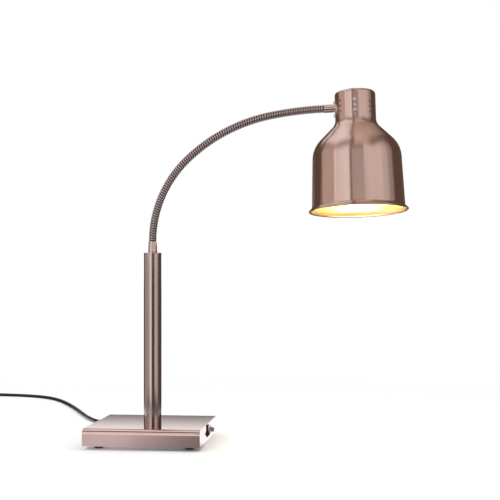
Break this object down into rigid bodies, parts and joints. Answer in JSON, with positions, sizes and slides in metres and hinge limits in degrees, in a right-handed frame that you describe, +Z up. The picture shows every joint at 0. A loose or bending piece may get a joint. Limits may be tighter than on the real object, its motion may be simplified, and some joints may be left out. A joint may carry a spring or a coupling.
{
  "type": "heat lamp warmer",
  "caption": "Table-top food-warming lamp: weighted square base, round column, flexible gooseneck, bell shade with infrared bulb, rocker switch, mains cord and plug.",
  "frame": {"origin": "middle of the standing lamp's footprint box, at the table, with the cord left out", "axes": "+X from the column towards the shade, +Y to the back where the cord leaves, +Z up"},
  "size_m": [1.1723, 0.8063, 0.6276],
  "materials": {
    "copper_sheet": "brushed antique copper plate",
    "copper_tube": "brushed antique copper plate",
    "copper_spun": "spun, brushed round, antique copper plate",
    "copper_gooseneck": "wound wire, antique copper plate",
    "copper_turned": "turned, antique copper plate",
    "zinc_steel": "zinc plated",
    "raw_steel": "mill scale and oil",
    "screw_steel": "nickel plated",
    "brass": "pressed brass",
    "foot_rubber": "moulded",
    "cord_rubber": "smooth black sheath",
    "wire_insulation": "silicone insulation",
    "switch_plastic": "glossy moulded",
    "button_plastic": "fine moulded",
    "terminal_plastic": "moulded",
    "porcelain": "glazed white porcelain",
    "bulb_glass": "frosted face, silvered back",
    "cord_tie": "woven hook and loop strap"
  },
  "bodies": {
    "base": {"base_cover": "copper_sheet", "base_wiring": "wire_insulation", "bottom_plate": "zinc_steel", "bottom_screws": "zinc_steel", "breaker_body": "switch_plastic", "breaker_collar": "zinc_steel", "column_cap": "copper_tube", "column_foot": "zinc_steel", "column_lead": "wire_insulation", "column_nut": "zinc_steel", "column_tube": "copper_tube", "column_washer": "zinc_steel", "cord_coil": "cord_rubber", "cord_tail": "cord_rubber", "cord_tie": "cord_tie", "corner_blocks": "zinc_steel", "counterweight": "raw_steel", "counterweight_bolts": "zinc_steel", "earth_stud": "zinc_steel", "foot_screws": "zinc_steel", "lower_ferrule": "copper_turned", "plug_body": "cord_rubber", "plug_pins": "screw_steel", "power_cord": "cord_rubber", "rubber_feet": "foot_rubber", "side_panel_left": "copper_sheet", "side_panel_right": "copper_sheet", "strain_relief": "cord_rubber", "switch_housing": "switch_plastic", "switch_terminals": "brass", "terminal_block": "terminal_plastic"},
    "link_01": {"neck_link_01": "copper_gooseneck"},
    "link_02": {"neck_link_02": "copper_gooseneck"},
    "link_03": {"neck_link_03": "copper_gooseneck"},
    "link_04": {"neck_link_04": "copper_gooseneck"},
    "link_05": {"neck_link_05": "copper_gooseneck"},
    "link_06": {"neck_link_06": "copper_gooseneck"},
    "link_07": {"neck_link_07": "copper_gooseneck"},
    "link_08": {"neck_link_08": "copper_gooseneck"},
    "link_09": {"neck_link_09": "copper_gooseneck"},
    "link_10": {"neck_link_10": "copper_gooseneck"},
    "head": {"upper_ferrule": "copper_turned", "ferrule_plate": "zinc_steel", "ferrule_nut": "zinc_steel", "ferrule_screws": "screw_steel", "shade_shell": "copper_spun", "lampholder_bracket": "zinc_steel", "bracket_screws": "screw_steel", "bracket_rivets": "screw_steel", "bracket_nuts": "zinc_steel", "lampholder": "porcelain", "lampholder_screws": "screw_steel", "lampholder_shell": "brass", "lampholder_contact": "brass", "head_lead": "wire_insulation", "bulb_glass": "bulb_glass", "bulb_cap": "brass", "bulb_insulator": "switch_plastic", "bulb_contact": "brass"},
    "rocker": {"switch_rocker": "switch_plastic"},
    "button": {"reset_button": "button_plastic"}
  },
  "joints": [
    {"name": "neck_bend_1", "type": "hinge", "parent": "base", "child": "link_01", "pos_m": [-0.1782, 0, 0.3635], "axis": [0, 1, 0], "range_deg": [-10, 10]},
    {"name": "neck_sway_1", "type": "hinge", "parent": "link_01", "child": "link_02", "pos_m": [-0.17394, 0, 0.40484], "axis": [-0.979, 0, 0.2036], "range_deg": [-10, 10]},
    {"name": "neck_bend_2", "type": "hinge", "parent": "link_02", "child": "link_03", "pos_m": [-0.16136, 0, 0.44445], "axis": [0, 1, 0], "range_deg": [-10, 10]},
    {"name": "neck_sway_2", "type": "hinge", "parent": "link_03", "child": "link_04", "pos_m": [-0.14098, 0, 0.48066], "axis": [-0.8166, 0, 0.5771], "range_deg": [-10, 10]},
    {"name": "neck_bend_3", "type": "hinge", "parent": "link_04", "child": "link_05", "pos_m": [-0.11364, 0, 0.51197], "axis": [0, 1, 0], "range_deg": [-10, 10]},
    {"name": "neck_sway_3", "type": "hinge", "parent": "link_05", "child": "link_06", "pos_m": [-0.08058, 0, 0.53868], "axis": [-0.5718, 0, 0.8204], "range_deg": [-10, 10]},
    {"name": "neck_bend_4", "type": "hinge", "parent": "link_06", "child": "link_07", "pos_m": [-0.04408, 0, 0.56045], "axis": [0, 1, 0], "range_deg": [-10, 10]},
    {"name": "neck_sway_4", "type": "hinge", "parent": "link_07", "child": "link_08", "pos_m": [-0.00486, 0, 0.57685], "axis": [-0.3194, 0, 0.9476], "range_deg": [-10, 10]},
    {"name": "neck_bend_5", "type": "hinge", "parent": "link_08", "child": "link_09", "pos_m": [0.03628, 0, 0.58754], "axis": [0, 1, 0], "range_deg": [-10, 10]},
    {"name": "neck_sway_5", "type": "hinge", "parent": "link_09", "child": "link_10", "pos_m": [0.08357, 0, 0.59444], "axis": [-0.1067, 0, 0.9943], "range_deg": [-10, 10]},
    {"name": "neck_bend_6", "type": "hinge", "parent": "link_10", "child": "head", "pos_m": [0.13125, 0, 0.59773], "axis": [0, 1, 0], "range_deg": [-10, 10]},
    {"name": "rocker_tilt", "type": "hinge", "parent": "base", "child": "rocker", "pos_m": [-0.0765, -0.012, 0.0234], "axis": [0, 1, 0], "range_deg": [0, 16]},
    {"name": "reset_press", "type": "slide", "parent": "base", "child": "button", "axis": [-1, 0, 0], "range_m": [0, 0.003], "stiffness_N_per_m": 400, "springref_m": -0.002}
  ]
}
